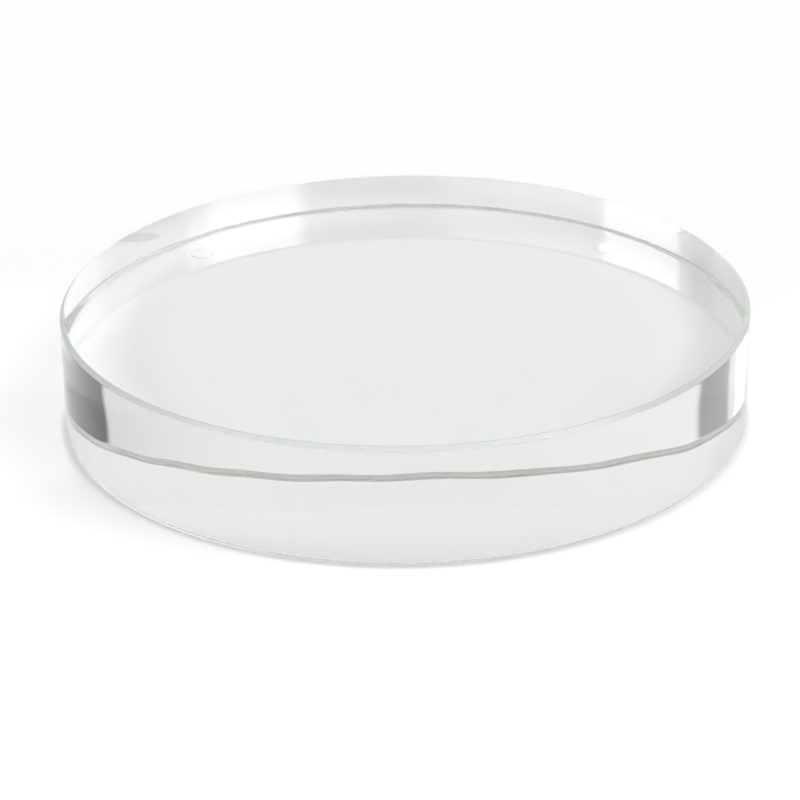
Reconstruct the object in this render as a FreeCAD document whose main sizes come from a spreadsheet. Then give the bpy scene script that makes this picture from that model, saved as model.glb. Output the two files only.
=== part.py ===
"""Round vanity tray: a thick slab of clear glass on four small clear pads.

Millimetres, +Z up. The origin is on the slab's axis, in the plane that the pads stand on.
"""

import FreeCAD, Part
import Sketcher
import math
import os

# Driving dimensions, all in millimetres.
SIZES = [
    ("slab_diameter", 254.0),
    ("slab_thickness", 44.45),
    ("edge_bevel", 1.5),
    ("pad_diameter", 8.0),
    ("pad_height", 0.6),
    ("pad_rounding", 0.2),
    ("pad_inset", 14.0),
]

# Each pad's name and its direction from the slab's axis, in degrees from +X.
PADS = [
    ("back_right_pad", 45.0),
    ("back_left_pad", 135.0),
    ("front_left_pad", 225.0),
    ("front_right_pad", 315.0),
]

# How far an edge may be from flat or level, in millimetres.
FLAT_TOLERANCE = 1e-6
# How far the slab's volume may be from its formula, as a share of what one bevel takes off.
VOLUME_TOLERANCE = 1e-3
# The least that a rounded pad keeps of a plain disc's volume.
LEAST_PAD_SHARE = 0.9


def make_sheet(doc):
    """The spreadsheet of driving dimensions, one alias to a row."""
    sheet = doc.addObject("Spreadsheet::Sheet", "Sizes")
    for row, (name, value) in enumerate(SIZES, start=1):
        sheet.set(f"A{row}", name)
        sheet.set(f"B{row}", str(value))
        sheet.setAlias(f"B{row}", name)
    doc.recompute()
    return sheet


def origin_plane(body, role):
    """One of a body's own origin planes, such as XY_Plane."""
    return next(plane for plane in body.Origin.OriginFeatures if plane.Role == role)


def make_disc(doc, name, diameter, height):
    """A body holding one upright disc that stands on its own XY plane."""
    body = doc.addObject("PartDesign::Body", name)
    body.Label = name
    sketch = body.newObject("Sketcher::SketchObject", name + "_outline")
    sketch.AttachmentSupport = [(origin_plane(body, "XY_Plane"), "")]
    sketch.MapMode = "FlatFace"
    centre = FreeCAD.Vector(0, 0, 0)
    upward = FreeCAD.Vector(0, 0, 1)
    rim = sketch.addGeometry(Part.Circle(centre, upward, 1.0), False)
    sketch.addConstraint(Sketcher.Constraint("Coincident", rim, 3, -1, 1))
    size = sketch.addConstraint(Sketcher.Constraint("Diameter", rim, 2.0))
    sketch.setExpression(f"Constraints[{size}]", f"Sizes.{diameter}")
    disc = body.newObject("PartDesign::Pad", name + "_disc")
    disc.Profile = sketch
    disc.setExpression("Length", f"Sizes.{height}")
    doc.recompute()
    return body


def rim_edges(shape, heights):
    """Names of the round edges that lie flat at the given heights."""
    names = []
    for number, edge in enumerate(shape.Edges, start=1):
        flat = edge.BoundBox.ZLength < FLAT_TOLERANCE
        level = any(abs(edge.BoundBox.ZMin - height) < FLAT_TOLERANCE for height in heights)
        if flat and level:
            names.append(f"Edge{number}")
    return names


def make_slab(doc, sheet):
    """The glass slab, with the same small ground bevel round its top and its underside."""
    body = make_disc(doc, "glass_slab", "slab_diameter", "slab_thickness")
    disc = body.Tip
    bevel = body.newObject("PartDesign::Chamfer", "glass_slab_bevel")
    bevel.Base = (disc, rim_edges(disc.Shape, [0.0, float(sheet.slab_thickness)]))
    bevel.setExpression("Size", "Sizes.edge_bevel")
    body.setExpression("Placement.Base.z", "Sizes.pad_height")
    return body


def make_pad(doc, name, direction):
    """One clear pad, rounded where it meets the table and flat where it sticks to the glass."""
    body = make_disc(doc, name, "pad_diameter", "pad_height")
    disc = body.Tip
    rounding = body.newObject("PartDesign::Fillet", name + "_rounding")
    rounding.Base = (disc, rim_edges(disc.Shape, [0.0]))
    rounding.setExpression("Radius", "Sizes.pad_rounding")
    reach = "(Sizes.slab_diameter / 2 - Sizes.pad_inset)"
    body.setExpression("Placement.Base.x", f"{reach} * {math.cos(math.radians(direction)):.9f}")
    body.setExpression("Placement.Base.y", f"{reach} * {math.sin(math.radians(direction)):.9f}")
    return body


def check(doc, bodies):
    """Stop if any object failed or any piece is empty, broken or in more than one lump."""
    for thing in doc.Objects:
        if "Invalid" in thing.State or "Error" in thing.State:
            raise RuntimeError(f"{thing.Label} failed: {thing.State}")
    for body in bodies:
        shape = body.Shape
        if shape.isNull() or not shape.isValid():
            raise RuntimeError(f"{body.Label} has no valid shape")
        if len(shape.Solids) != 1:
            raise RuntimeError(f"{body.Label} has {len(shape.Solids)} solids")


def check_volumes(bodies, sheet):
    """Compare the slab's and a pad's volumes with their formulas, so that a missed edge shows."""
    radius = float(sheet.slab_diameter) / 2
    bevel = float(sheet.edge_bevel)
    ring = math.pi * bevel**2 * (radius - bevel / 3)
    expected = math.pi * radius**2 * float(sheet.slab_thickness) - 2 * ring
    found = bodies[0].Shape.Volume
    if abs(found - expected) > VOLUME_TOLERANCE * ring:
        raise RuntimeError(f"slab volume {found:.1f}, expected {expected:.1f}")
    plain = math.pi * (float(sheet.pad_diameter) / 2) ** 2 * float(sheet.pad_height)
    for body in bodies[1:]:
        if not LEAST_PAD_SHARE * plain < body.Shape.Volume < plain:
            raise RuntimeError(f"{body.Label} volume {body.Shape.Volume:.2f}, plain {plain:.2f}")


def main():
    """Build every piece, check it and write it to its own file."""
    doc = FreeCAD.newDocument("vanity_tray")
    sheet = make_sheet(doc)
    bodies = [make_slab(doc, sheet)]
    for name, direction in PADS:
        bodies.append(make_pad(doc, name, direction))
    doc.recompute()
    check(doc, bodies)
    check_volumes(bodies, sheet)
    os.makedirs("parts", exist_ok=True)
    for body in bodies:
        body.Shape.exportStep(f"parts/{body.Label}.step")
        box = body.Shape.BoundBox
        print(f"{body.Label}: {body.Shape.Volume:.1f} mm3, z {box.ZMin:.2f} to {box.ZMax:.2f}")


main()
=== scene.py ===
"""Round vanity tray: a thick polished glass slab on four clear pads, in a soft white studio.

Everything is in metres, in the row's frame: +Z up, the origin on the slab's axis in the plane
that the pads stand on.
"""

import logging
import math
from collections.abc import Callable
from dataclasses import dataclass, field
from enum import Enum

import bmesh
import bpy
from mathutils import Matrix, Vector


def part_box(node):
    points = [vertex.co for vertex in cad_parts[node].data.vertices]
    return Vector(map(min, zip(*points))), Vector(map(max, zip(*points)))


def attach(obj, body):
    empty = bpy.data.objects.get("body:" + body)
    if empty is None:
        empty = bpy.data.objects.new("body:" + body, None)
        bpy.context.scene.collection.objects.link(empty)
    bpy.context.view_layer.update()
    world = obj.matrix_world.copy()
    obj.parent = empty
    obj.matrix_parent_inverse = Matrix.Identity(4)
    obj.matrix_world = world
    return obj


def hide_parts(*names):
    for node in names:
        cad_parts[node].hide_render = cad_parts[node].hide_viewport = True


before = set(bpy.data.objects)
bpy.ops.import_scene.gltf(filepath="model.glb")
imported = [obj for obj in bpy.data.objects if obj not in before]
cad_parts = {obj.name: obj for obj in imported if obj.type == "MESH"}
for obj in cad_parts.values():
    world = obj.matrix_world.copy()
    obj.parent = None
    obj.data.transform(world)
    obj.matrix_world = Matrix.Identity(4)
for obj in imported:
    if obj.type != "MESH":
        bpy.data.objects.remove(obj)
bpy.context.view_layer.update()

log = logging.getLogger("vanity_tray")

MM = 0.001
ROOT = "root"
Colour = tuple[float, float, float]
Point = tuple[float, float]
Wall = Callable[[float, float, float], float]

WHITE: Colour = (1.0, 1.0, 1.0)
GLASS_INDEX = 1.52

# The clouds of smudges: where one starts and is full, their detail and how far they are stirred.
SMUDGE_STARTS = 0.55
SMUDGE_FULL = 0.75
SMUDGE_DETAIL = 5.0
SMUDGE_STIR = 0.6
# The scale of the polishing ripples' noise, as a share of the smudges': they are wider.
RELIEF_SCALE = 0.4

# A ring's edges sharper than this, in degrees, stay crisp.
CRISP_ANGLE = 40.0
FLOOR_SEGMENTS = 8
FILM_WIDTH = 36.0
NEAREST_SEEN, FARTHEST_SEEN = 0.01, 100.0
GLASS_BOUNCES = 32
GLOSS_BOUNCES = 12


class Corner(Enum):
    """The four places of a pad, by the name of its node."""

    BACK_RIGHT = "back_right_pad"
    BACK_LEFT = "back_left_pad"
    FRONT_LEFT = "front_left_pad"
    FRONT_RIGHT = "front_right_pad"


# --- shader helpers -------------------------------------------------------------------------


@dataclass
class NodeBoard:
    """A node tree with short ways to add nodes, fill their sockets and link them."""

    tree: bpy.types.NodeTree

    def add(self, kind: str, **settings: object) -> bpy.types.Node:
        """Add one node and set its properties.

        Args:
            kind: The node's Blender type name, without the "ShaderNode" in front.
            settings: Properties of the node by name.

        Returns:
            The new node.
        """
        node = self.tree.nodes.new(kind if kind.startswith("Node") else "ShaderNode" + kind)
        for name, value in settings.items():
            setattr(node, name, value)
        return node

    def feed(self, socket: bpy.types.NodeSocket, source: object) -> None:
        """Give a socket a link if the source is another socket, or else a plain value.

        Args:
            socket: The socket to fill.
            source: The other socket or the value.
        """
        if isinstance(source, bpy.types.NodeSocket):
            self.tree.links.new(source, socket)
        else:
            socket.default_value = source

    def math(self, operation: str, *sources: object) -> bpy.types.NodeSocket:
        """One Math node.

        Args:
            operation: Its operation, such as "MULTIPLY".
            sources: A socket or number for each input in turn.

        Returns:
            The node's output.
        """
        node = self.add("Math", operation=operation)
        for socket, source in zip(node.inputs, sources):
            self.feed(socket, source)
        return node.outputs[0]

    def ramp(self, value: object, low: object, high: object) -> bpy.types.NodeSocket:
        """A smooth step from 0 at low to 1 at high.

        Args:
            value: What is compared.
            low: Where the step starts.
            high: Where the step ends.

        Returns:
            The step, from 0 to 1.
        """
        node = self.add("MapRange", interpolation_type="SMOOTHSTEP")
        for name, source in (("Value", value), ("From Min", low), ("From Max", high)):
            self.feed(node.inputs[name], source)
        return node.outputs["Result"]

    def blend(self, share: object, first: object, second: object) -> bpy.types.NodeSocket:
        """A colour that goes from first to second as share goes from 0 to 1.

        Args:
            share: The share of the second colour.
            first: The first colour.
            second: The second colour.

        Returns:
            The mixed colour.
        """
        node = self.add("Mix", data_type="RGBA")
        by_name = {s.identifier: s for s in node.inputs}
        self.feed(by_name["Factor_Float"], share)
        self.feed(by_name["A_Color"], first)
        self.feed(by_name["B_Color"], second)
        return {s.identifier: s for s in node.outputs}["Result_Color"]


def handling_marks() -> bpy.types.NodeTree:
    """The marks that hands and a polishing cloth leave, as a shader node group.

    Returns:
        A group with inputs Size (metres across a smudge) and Amount, and outputs Smudge, a mask
        of dull patches, and Relief, a height of faint polishing ripples.
    """
    name = "handling_marks"
    if name in bpy.data.node_groups:
        return bpy.data.node_groups[name]
    group = bpy.data.node_groups.new(name, "ShaderNodeTree")
    for label, low, start, high in (("Size", 0.0001, 0.02, 1.0), ("Amount", 0.0, 0.5, 1.0)):
        socket = group.interface.new_socket(label, in_out="INPUT", socket_type="NodeSocketFloat")
        socket.min_value, socket.default_value, socket.max_value = low, start, high
    for label in ("Smudge", "Relief"):
        group.interface.new_socket(label, in_out="OUTPUT", socket_type="NodeSocketFloat")
    board = NodeBoard(group)
    entry = board.add("NodeGroupInput")
    leave = board.add("NodeGroupOutput")
    place = board.add("TexCoord").outputs["Object"]
    scale = board.math("DIVIDE", 1.0, entry.outputs["Size"])
    cloud = board.add("TexNoise")
    board.feed(cloud.inputs["Vector"], place)
    board.feed(cloud.inputs["Scale"], scale)
    board.feed(cloud.inputs["Detail"], SMUDGE_DETAIL)
    board.feed(cloud.inputs["Distortion"], SMUDGE_STIR)
    patch = board.ramp(cloud.outputs["Fac"], SMUDGE_STARTS, SMUDGE_FULL)
    board.feed(leave.inputs["Smudge"], board.math("MULTIPLY", patch, entry.outputs["Amount"]))
    ripple = board.add("TexNoise")
    board.feed(ripple.inputs["Vector"], place)
    board.feed(ripple.inputs["Scale"], board.math("MULTIPLY", scale, RELIEF_SCALE))
    board.feed(ripple.inputs["Detail"], 1.0)
    relief = board.math("MULTIPLY", ripple.outputs["Fac"], entry.outputs["Amount"])
    board.feed(leave.inputs["Relief"], relief)
    return group


# --- finishes -------------------------------------------------------------------------------


@dataclass(frozen=True)
class ClearSolid:
    """A clear, polished, faintly tinted solid: the glass of the slab or the plastic of a pad."""

    name: str
    index: float
    tint: Colour
    density: float
    clean_gloss: float
    smudged_gloss: float
    smudge_size: float
    smudge_amount: float
    ripple_depth: float

    def material(self) -> bpy.types.Material:
        """Build the material.

        Returns:
            A material with a clear surface, its handling marks and its tint by depth.
        """
        made = bpy.data.materials.new(self.name)
        made.use_nodes = True
        made.node_tree.nodes.clear()
        board = NodeBoard(made.node_tree)
        marks = board.add("Group")
        marks.node_tree = handling_marks()
        board.feed(marks.inputs["Size"], self.smudge_size)
        board.feed(marks.inputs["Amount"], self.smudge_amount)
        surface = board.add("BsdfPrincipled")
        surface.inputs["Base Color"].default_value = (*WHITE, 1.0)
        surface.inputs["Transmission Weight"].default_value = 1.0
        surface.inputs["IOR"].default_value = self.index
        span = self.smudged_gloss - self.clean_gloss
        dulled = board.math("MULTIPLY_ADD", marks.outputs["Smudge"], span, self.clean_gloss)
        board.feed(surface.inputs["Roughness"], dulled)
        bump = board.add("Bump")
        board.feed(bump.inputs["Distance"], self.ripple_depth)
        board.feed(bump.inputs["Height"], marks.outputs["Relief"])
        board.feed(surface.inputs["Normal"], bump.outputs["Normal"])
        inside = board.add("VolumeAbsorption")
        inside.inputs["Color"].default_value = (*self.tint, 1.0)
        inside.inputs["Density"].default_value = self.density
        leave = board.add("OutputMaterial")
        board.feed(leave.inputs["Surface"], surface.outputs[0])
        board.feed(leave.inputs["Volume"], inside.outputs[0])
        return made


@dataclass(frozen=True)
class GroundGlass:
    """The fine matt skin that grinding leaves on a bevel: pale, slightly green and porous.

    Being porous, it bends light far less than the solid glass under it.
    """

    name: str = "ground_glass"
    index: float = 1.12
    pale: Colour = (0.90, 0.925, 0.88)
    deep: Colour = (0.82, 0.85, 0.79)
    clearness: float = 0.58
    gloss: float = 0.45
    worn_gloss: float = 0.3
    grain_size: float = 0.004
    grain_amount: float = 0.8

    def material(self) -> bpy.types.Material:
        """Build the material.

        Returns:
            A pale matt material that is a little deeper and glossier where it is worn.
        """
        made = bpy.data.materials.new(self.name)
        made.use_nodes = True
        made.node_tree.nodes.clear()
        board = NodeBoard(made.node_tree)
        marks = board.add("Group")
        marks.node_tree = handling_marks()
        board.feed(marks.inputs["Size"], self.grain_size)
        board.feed(marks.inputs["Amount"], self.grain_amount)
        worn = marks.outputs["Smudge"]
        surface = board.add("BsdfPrincipled")
        surface.inputs["IOR"].default_value = self.index
        surface.inputs["Transmission Weight"].default_value = self.clearness
        colour = board.blend(worn, (*self.pale, 1.0), (*self.deep, 1.0))
        board.feed(surface.inputs["Base Color"], colour)
        span = self.worn_gloss - self.gloss
        board.feed(surface.inputs["Roughness"], board.math("MULTIPLY_ADD", worn, span, self.gloss))
        board.feed(board.add("OutputMaterial").inputs["Surface"], surface.outputs[0])
        return made


@dataclass(frozen=True)
class MattePaper:
    """The studio's white paper, with a barely visible fibre.

    Painted shade greys it in a round where the tray stands; painted light whitens the front.
    """

    reach: float
    name: str = "studio_paper"
    white: float = 0.8
    # Painted light: the front of the paper is whiter than the back, ramping in between the two Y
    # values given next.
    painted_light_white: float = 0.9
    painted_light_starts: Point = (0.15, 0.03)
    # Painted shade: the paper's tone inside the round where the tray stands, greyer than the rest,
    # with a soft edge.
    painted_shade_tone: float = 0.725
    painted_shade_edge: float = 2.0 * MM
    fibre_shade: float = 0.012
    fibre_size: float = 0.004

    def material(self) -> bpy.types.Material:
        """Build the material.

        Returns:
            A matt white material with a little fibre, painted shade under the tray and painted
            light in front.
        """
        made = bpy.data.materials.new(self.name)
        made.use_nodes = True
        made.node_tree.nodes.clear()
        board = NodeBoard(made.node_tree)
        place = board.add("TexCoord").outputs["Object"]
        far = board.add("VectorMath", operation="LENGTH")
        board.feed(far.inputs[0], place)
        # Painted shade: a mask that is 0 inside the tray's round and 1 outside it.
        inner, outer = self.reach - self.painted_shade_edge, self.reach + self.painted_shade_edge
        away = board.ramp(far.outputs["Value"], inner, outer)
        fibre = board.add("TexNoise")
        board.feed(fibre.inputs["Vector"], place)
        board.feed(fibre.inputs["Scale"], 1.0 / self.fibre_size)
        parts = board.add("SeparateXYZ")
        board.feed(parts.inputs[0], place)
        # Painted light: a mask that rises from 0 behind to 1 in front.
        painted_light_share = board.ramp(parts.outputs["Y"], *self.painted_light_starts)
        # The painted shade colour, inside the tray's round.
        painted_shade_colour = (self.painted_shade_tone, self.painted_shade_tone, self.painted_shade_tone, 1.0)
        back = (self.white, self.white, self.white, 1.0)
        # The painted light colour of the front; the back keeps the plain white.
        front = (self.painted_light_white, self.painted_light_white, self.painted_light_white, 1.0)
        light = board.blend(painted_light_share, back, front)
        shade = 1.0 - self.fibre_shade
        worn = board.blend(fibre.outputs["Fac"], (*WHITE, 1.0), (shade, shade, shade, 1.0))
        # Painted shade inside the tray's round, the painted light of the front outside it, times
        # the fibre.
        colour = board.add("VectorMath", operation="MULTIPLY")
        board.feed(colour.inputs[0], board.blend(away, painted_shade_colour, light))
        board.feed(colour.inputs[1], worn)
        surface = board.add("BsdfPrincipled")
        board.feed(surface.inputs["Base Color"], colour.outputs[0])
        surface.inputs["Roughness"].default_value = 1.0
        surface.inputs["Specular IOR Level"].default_value = 0.0
        board.feed(board.add("OutputMaterial").inputs["Surface"], surface.outputs[0])
        return made


# --- turned shapes --------------------------------------------------------------------------


@dataclass(frozen=True)
class TurnedOutline:
    """Half of a turned piece's section: corners from the axis at the bottom to it at the top."""

    corners: tuple[Point, ...]
    softness: float
    steps: int = 4
    hold: float = 0.4 * MM

    def points(self, rows: int = 1) -> list[Point]:
        """The outline with every corner eased by a small arc.

        Args:
            rows: How many rows a long upright run is cut into.

        Returns:
            The outline's points as (distance from the axis, height).
        """
        made = [self.corners[0]]
        inner = zip(self.corners, self.corners[1:], self.corners[2:])
        for before, corner, after in inner:
            made.extend(self._eased(Vector(before), Vector(corner), Vector(after)))
        made.append(self.corners[-1])
        return self._cut_uprights(made, rows)

    def _eased(self, before: Vector, corner: Vector, after: Vector) -> list[Point]:
        """The arc that takes a corner's place, with a point just before and after it.

        Args:
            before: The corner before it.
            corner: The corner itself.
            after: The corner after it.

        Returns:
            The arc's points as (distance from the axis, height).
        """
        back = (before - corner).normalized()
        ahead = (after - corner).normalized()
        half = back.angle(ahead) / 2
        reach = self.softness / math.tan(half)
        centre = corner + (back + ahead).normalized() * (self.softness / math.sin(half))
        start = corner + back * reach - centre
        turn = start.angle_signed(corner + ahead * reach - centre)
        arc = [corner + back * (reach + self.hold)]
        for step in range(self.steps + 1):
            arc.append(centre + Matrix.Rotation(-turn * step / self.steps, 2) @ start)
        arc.append(corner + ahead * (reach + self.hold))
        return [tuple(point) for point in arc]

    def _cut_uprights(self, points: list[Point], rows: int) -> list[Point]:
        """The points with each long upright run cut into rows.

        Args:
            points: The outline's points.
            rows: How many rows a run is cut into.

        Returns:
            The points with the new ones between them.
        """
        made = [points[0]]
        for (r0, z0), (r1, z1) in zip(points, points[1:]):
            upright = abs(r1 - r0) < self.hold and z1 - z0 > 4 * self.hold
            count = rows if upright else 1
            for step in range(1, count + 1):
                share = step / count
                made.append((r0 + (r1 - r0) * share, z0 + (z1 - z0) * share))
        return made


@dataclass(frozen=True)
class Ripple:
    """One faint wave left in the wall by polishing: it runs round the slab and leans."""

    turns: int
    phase: float
    depth: float
    lean: float

    def at(self, angle: float, height: float) -> float:
        """How far the wall stands out at an angle, and at a height from -1 to 1."""
        return self.depth * math.sin(self.turns * angle + self.phase + self.lean * height)


def turned_mesh(
    name: str, outline: list[Point], around: int, wall: Wall | None = None
) -> bpy.types.Mesh:
    """Turn an outline round the Z axis into a closed mesh.

    Args:
        name: The mesh's name.
        outline: Points from the axis at the bottom to the axis at the top.
        around: How many steps go round.
        wall: A function of (distance from the axis, angle, height) that gives how far a point
            moves away from the axis, or None.

    Returns:
        The mesh, smooth shaded, with flat faces at the two ends.
    """
    shape = bmesh.new()
    rings = []
    for reach, height in outline[1:-1]:
        ring = []
        for step in range(around):
            angle = 2 * math.pi * step / around
            out = reach + (wall(reach, angle, height) if wall else 0.0)
            ring.append(shape.verts.new((out * math.cos(angle), out * math.sin(angle), height)))
        rings.append(ring)
    for lower, upper in zip(rings, rings[1:]):
        for step in range(around):
            nearby = (step + 1) % around
            shape.faces.new((lower[step], lower[nearby], upper[nearby], upper[step]))
    shape.faces.new(tuple(reversed(rings[0])))
    shape.faces.new(tuple(rings[-1]))
    bmesh.ops.recalc_face_normals(shape, faces=shape.faces)
    mesh = bpy.data.meshes.new(name)
    shape.to_mesh(mesh)
    shape.free()
    mesh.shade_smooth()
    return mesh


def turned_ring(name: str, section: list[Point], around: int, wall: Wall) -> bpy.types.Mesh:
    """Turn a closed section round the Z axis into a ring.

    Args:
        name: The mesh's name.
        section: The section's corners as (distance from the axis, height), in order.
        around: How many steps go round.
        wall: A function of (distance from the axis, angle, height) that gives how far a point
            moves away from the axis.

    Returns:
        The mesh, with crisp edges.
    """
    shape = bmesh.new()
    loops = []
    for step in range(around):
        angle = 2 * math.pi * step / around
        loop = []
        for reach, height in section:
            out = reach + wall(reach, angle, height)
            loop.append(shape.verts.new((out * math.cos(angle), out * math.sin(angle), height)))
        loops.append(loop)
    count = len(section)
    for step in range(around):
        here, there = loops[step], loops[(step + 1) % around]
        for corner in range(count):
            beyond = (corner + 1) % count
            shape.faces.new((here[corner], there[corner], there[beyond], here[beyond]))
    bmesh.ops.recalc_face_normals(shape, faces=shape.faces)
    mesh = bpy.data.meshes.new(name)
    shape.to_mesh(mesh)
    shape.free()
    mesh.shade_smooth()
    mesh.set_sharp_from_angle(angle=math.radians(CRISP_ANGLE))
    return mesh


def place(name: str, mesh: bpy.types.Mesh, at: Vector = Vector()) -> bpy.types.Object:
    """Put a mesh in the scene.

    Args:
        name: The object's name.
        mesh: Its mesh.
        at: Where its origin goes.

    Returns:
        The object.
    """
    made = bpy.data.objects.new(name, mesh)
    made.location = at
    bpy.context.scene.collection.objects.link(made)
    return made


# --- the tray -------------------------------------------------------------------------------


@dataclass
class GlassSlab:
    """The tray itself: a thick round slab with a flat top and a bevel round both rims.

    The glass is cut a little deeper at the bevels, and their ground skin fills the cut.
    """

    node: str = "glass_slab"
    slot: str = "clear_glass"
    bevel: float = 1.5 * MM
    skin: float = 0.08 * MM
    skin_above: float = 0.04 * MM
    edge_softness: float = 0.25 * MM
    around: int = 720
    rows: int = 24
    ripples: tuple[Ripple, ...] = (
        Ripple(turns=4, phase=0.4, depth=0.06 * MM, lean=0.8),
        Ripple(turns=9, phase=2.1, depth=0.03 * MM, lean=-2.5),
        Ripple(turns=23, phase=4.0, depth=0.012 * MM, lean=4.5),
    )
    finish: ClearSolid = ClearSolid(
        name="crystal_glass",
        index=GLASS_INDEX,
        tint=(0.06, 0.09, 0.0),
        density=0.80,
        clean_gloss=0.0,
        smudged_gloss=0.02,
        smudge_size=0.03,
        smudge_amount=0.5,
        ripple_depth=0.0,
    )
    low: Vector = field(init=False)
    high: Vector = field(init=False)

    def __post_init__(self) -> None:
        """Read the slab's corners from the frame."""
        self.low, self.high = (Vector(corner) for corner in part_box(self.node))

    @property
    def radius(self) -> float:
        """Half of the slab's diameter."""
        return (self.high.x - self.low.x) / 2

    @property
    def middle(self) -> float:
        """The height half way up the slab."""
        return (self.low.z + self.high.z) / 2

    def _wall(self, reach: float, angle: float, height: float) -> float:
        """How far the polished wall is from a true cylinder, never outside it.

        Args:
            reach: The point's distance from the axis.
            angle: Its angle round the axis.
            height: Its height.

        Returns:
            How far the point moves away from the axis, as zero or less.
        """
        share = min(1.0, max(0.0, 1 - (self.radius - reach) / self.bevel))
        level = 2 * (height - self.middle) / (self.high.z - self.low.z)
        most = sum(ripple.depth for ripple in self.ripples)
        return share * (sum(ripple.at(angle, level) for ripple in self.ripples) - most)

    def build(self) -> bpy.types.Object:
        """Make, dress and place the slab.

        Returns:
            The slab's object.
        """
        cut = self.bevel + self.skin_above
        rim = self.radius - cut
        corners = (
            (0.0, self.low.z),
            (rim, self.low.z),
            (self.radius, self.low.z + cut),
            (self.radius, self.high.z - cut),
            (rim, self.high.z),
            (0.0, self.high.z),
        )
        outline = TurnedOutline(corners, self.edge_softness)
        mesh = turned_mesh(self.node, outline.points(self.rows), self.around, self._wall)
        mesh.materials.append(self.finish.material())
        piece = place("slab", mesh)
        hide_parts(self.node)
        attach(piece, ROOT)
        log.info("slab: %.1f mm across, %d faces", 2 * self.radius / MM, len(mesh.polygons))
        return piece

    def build_bevels(self) -> None:
        """Lay the ground skin on the top and bottom bevels."""
        material = GroundGlass().material()
        for name, edge, inwards in (("top", self.high.z, -1.0), ("bottom", self.low.z, 1.0)):
            rim = (self.radius - self.bevel, edge)
            foot = (self.radius, edge + inwards * self.bevel)
            deep = self.skin * math.sqrt(0.5)
            section = [rim, foot]
            section += [
                (reach - deep, height + inwards * deep) for reach, height in (foot, rim)
            ]
            mesh = turned_ring(name + "_bevel", section, self.around, self._wall)
            mesh.materials.append(material)
            piece = place(name + "_bevel", mesh)
            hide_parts(self.node)
            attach(piece, ROOT)
            log.info("%s bevel: %d faces", name, len(mesh.polygons))


@dataclass
class ClearPad:
    """One stick-on pad: a soft clear disc with a rounded foot and a thin line of glue on top."""

    corner: Corner
    material: bpy.types.Material
    slot: str = "clear_pad"
    foot_softness: float = 0.18 * MM
    glue_height: float = 0.1 * MM
    glue_inset: float = 0.12 * MM
    glue_gap: float = 0.02 * MM
    corner_softness: float = 0.02 * MM
    corner_hold: float = 0.01 * MM
    corner_steps: int = 2
    around: int = 96

    def build(self) -> bpy.types.Object:
        """Make, dress and place the pad.

        Returns:
            The pad's object.
        """
        low, high = (Vector(corner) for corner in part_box(self.corner.value))
        radius = (high.x - low.x) / 2
        top = high.z - self.glue_gap
        shoulder = high.z - self.glue_height
        foot = [(radius - self.foot_softness, low.z), (radius, low.z + self.foot_softness)]
        corners = [(0.0, low.z), *foot, (radius, shoulder)]
        glued = radius - self.glue_inset
        corners += [(glued, shoulder), (glued, top), (0.0, top)]
        outline = TurnedOutline(
            tuple(corners), self.corner_softness, steps=self.corner_steps, hold=self.corner_hold
        )
        mesh = turned_mesh(self.corner.value, outline.points(), self.around)
        mesh.materials.append(self.material)
        centre = Vector(((low.x + high.x) / 2, (low.y + high.y) / 2, 0.0))
        mesh.transform(Matrix.Translation(centre))
        piece = place("clear_" + self.corner.value, mesh)
        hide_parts(self.corner.value)
        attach(piece, ROOT)
        log.info("%s: %.1f mm across", self.corner.value, 2 * radius / MM)
        return piece


# --- the studio -----------------------------------------------------------------------------


@dataclass(frozen=True)
class LightPatch:
    """A patch of the studio round the tray: a lamp, a window or a dark gap, with soft edges.

    Its middle is turned clockwise from straight behind the tray, seen from above. All its
    angles are in degrees.
    """

    turn: float
    width: float
    low: float
    high: float
    light: float
    edge: float = 3.0


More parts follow.
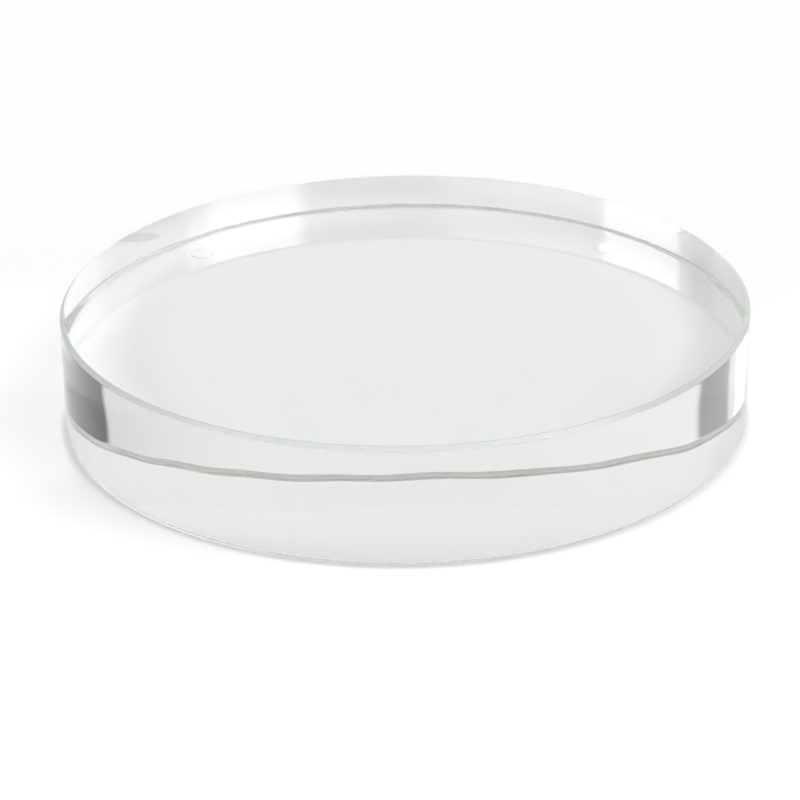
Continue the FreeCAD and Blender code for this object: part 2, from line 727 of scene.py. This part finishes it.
@dataclass
class Studio:
    """The white floor, the light round it and the camera."""

    slab: GlassSlab
    floor_reach: float = 4.0
    floor_drop: float = 0.05 * MM
    horizon_light: float = 1.0
    overhead_light: float = 0.86
    ceiling_start: float = 30.0
    ceiling_end: float = 48.0
    tone: Colour = (0.995, 1.0, 1.01)
    patches: tuple[LightPatch, ...] = (
        LightPatch(turn=180, width=80, low=7, high=52, light=0.40, edge=16),
        LightPatch(turn=0, width=80, low=49, high=64, light=0.66, edge=8),
        LightPatch(turn=-131, width=70, low=20, high=32, light=1.3, edge=16),
        LightPatch(turn=126, width=36, low=13, high=28, light=2.3, edge=8),
        LightPatch(turn=103, width=14, low=-2, high=18, light=3.2, edge=6),
        LightPatch(turn=60, width=50, low=-10, high=34, light=0.75, edge=40),
        LightPatch(turn=75, width=46, low=-10, high=33, light=0.02, edge=3),
        LightPatch(turn=-56, width=15, low=-10, high=33, light=0.30, edge=3),
        LightPatch(turn=-88, width=36, low=14, high=38, light=3.2, edge=4),
        LightPatch(turn=110, width=90, low=35, high=62, light=3.9, edge=6),
    )
    camera_elevation: float = math.degrees(0.4381)
    camera_distance: float = 8.687
    camera_lens: float = 138.0
    camera_roll: float = math.degrees(-0.0155)
    camera_aim: Point = (-0.0186, -0.3295)

    def build(self) -> None:
        """Lay the floor, light it and aim the camera."""
        self._floor()
        self._light()
        self._camera()
        log.info("studio: floor, light and camera")

    def _floor(self) -> None:
        """A large flat sheet just under the pads."""
        reach = self.floor_reach
        shape = bmesh.new()
        cuts = FLOOR_SEGMENTS
        bmesh.ops.create_grid(shape, x_segments=cuts, y_segments=cuts, size=reach)
        mesh = bpy.data.meshes.new("floor")
        shape.to_mesh(mesh)
        shape.free()
        mesh.materials.append(MattePaper(self.slab.radius).material())
        place("floor", mesh, Vector((0.0, 0.0, -self.floor_drop)))

    def _light(self) -> None:
        """The light that comes from all round, with its brighter and darker patches."""
        world = bpy.data.worlds.new("studio")
        bpy.context.scene.world = world
        world.use_nodes = True
        world.node_tree.nodes.clear()
        board = NodeBoard(world.node_tree)
        way = board.add("TexCoord").outputs["Generated"]
        parts = board.add("SeparateXYZ")
        board.feed(parts.inputs[0], way)
        rise = board.math("ARCSINE", parts.outputs["Z"])
        flat = board.add("CombineXYZ")
        board.feed(flat.inputs["X"], parts.outputs["X"])
        board.feed(flat.inputs["Y"], parts.outputs["Y"])
        heading = board.add("VectorMath", operation="NORMALIZE")
        board.feed(heading.inputs[0], flat.outputs[0])
        climb = board.ramp(rise, math.radians(self.ceiling_start), math.radians(self.ceiling_end))
        lift = self.overhead_light - self.horizon_light
        light = board.math("MULTIPLY_ADD", climb, lift, self.horizon_light)
        for patch in self.patches:
            share = self._share(board, patch, heading.outputs[0], rise)
            change = board.math("SUBTRACT", patch.light, light)
            light = board.math("MULTIPLY_ADD", share, change, light)
        colour = board.add("VectorMath", operation="SCALE")
        colour.inputs[0].default_value = self.tone
        board.feed(colour.inputs["Scale"], light)
        sky = board.add("Background")
        board.feed(sky.inputs["Color"], colour.outputs[0])
        board.feed(board.add("OutputWorld").inputs["Surface"], sky.outputs[0])

    def _share(
        self,
        board: NodeBoard,
        patch: LightPatch,
        heading: bpy.types.NodeSocket,
        rise: bpy.types.NodeSocket,
    ) -> bpy.types.NodeSocket:
        """How much of a direction a patch covers.

        Args:
            board: The world's nodes.
            patch: The patch.
            heading: The level part of the direction.
            rise: Its angle above the horizon.

        Returns:
            A socket from 0 outside the patch to 1 inside it.
        """
        turn = math.radians(patch.turn)
        facing = board.add("VectorMath", operation="DOT_PRODUCT")
        board.feed(facing.inputs[0], heading)
        facing.inputs[1].default_value = (math.sin(turn), math.cos(turn), 0.0)
        away = board.math("ARCCOSINE", facing.outputs["Value"])
        edge = math.radians(patch.edge) / 2
        half = math.radians(patch.width) / 2
        across = board.ramp(away, half + edge, half - edge)
        above = board.ramp(rise, math.radians(patch.low) - edge, math.radians(patch.low) + edge)
        below = board.ramp(rise, math.radians(patch.high) + edge, math.radians(patch.high) - edge)
        return board.math("MULTIPLY", across, board.math("MULTIPLY", above, below))

    def _camera(self) -> None:
        """A long lens, above the front of the tray and very slightly rolled."""
        radius = self.slab.radius
        lens = bpy.data.cameras.new("camera")
        lens.sensor_width = FILM_WIDTH
        lens.lens = self.camera_lens
        lens.clip_start, lens.clip_end = NEAREST_SEEN, FARTHEST_SEEN
        eye = place("camera", lens)
        rise = math.radians(self.camera_elevation)
        aim = Vector((self.camera_aim[0] * radius, self.camera_aim[1] * radius, self.slab.middle))
        back = Vector((0.0, -math.cos(rise), math.sin(rise)))
        right = Vector((1.0, 0.0, 0.0))
        turned = Matrix((right, back.cross(right), back)).transposed().to_4x4()
        roll = Matrix.Rotation(math.radians(self.camera_roll), 4, "Z")
        where = aim + back * self.camera_distance * radius
        eye.matrix_world = Matrix.Translation(where) @ turned @ roll
        bpy.context.scene.camera = eye


PAD_PLASTIC = ClearSolid(
    name="clear_pad_plastic",
    index=1.41,
    tint=(0.9, 0.92, 0.85),
    density=4.0,
    clean_gloss=0.0,
    smudged_gloss=0.06,
    smudge_size=0.003,
    smudge_amount=0.6,
    ripple_depth=0.02 * MM,
)


def set_picture() -> None:
    """Plain tones, and enough bounces for light to cross the thick glass."""
    scene = bpy.context.scene
    scene.view_settings.view_transform = "Standard"
    scene.cycles.use_denoising = True
    scene.cycles.max_bounces = GLASS_BOUNCES
    scene.cycles.transmission_bounces = GLASS_BOUNCES
    scene.cycles.glossy_bounces = GLOSS_BOUNCES
    scene.cycles.blur_glossy = 0.0
    scene.cycles.sample_clamp_indirect = 0.0


def main() -> None:
    """Build the tray piece by piece, then the studio round it."""
    logging.basicConfig(level=logging.INFO, format="%(name)s: %(message)s")
    slab = GlassSlab()
    slab.build()
    slab.build_bevels()
    plastic = PAD_PLASTIC.material()
    for corner in Corner:
        ClearPad(corner, plastic).build()
    Studio(slab).build()
    set_picture()


if __name__ == "__main__":
    main()
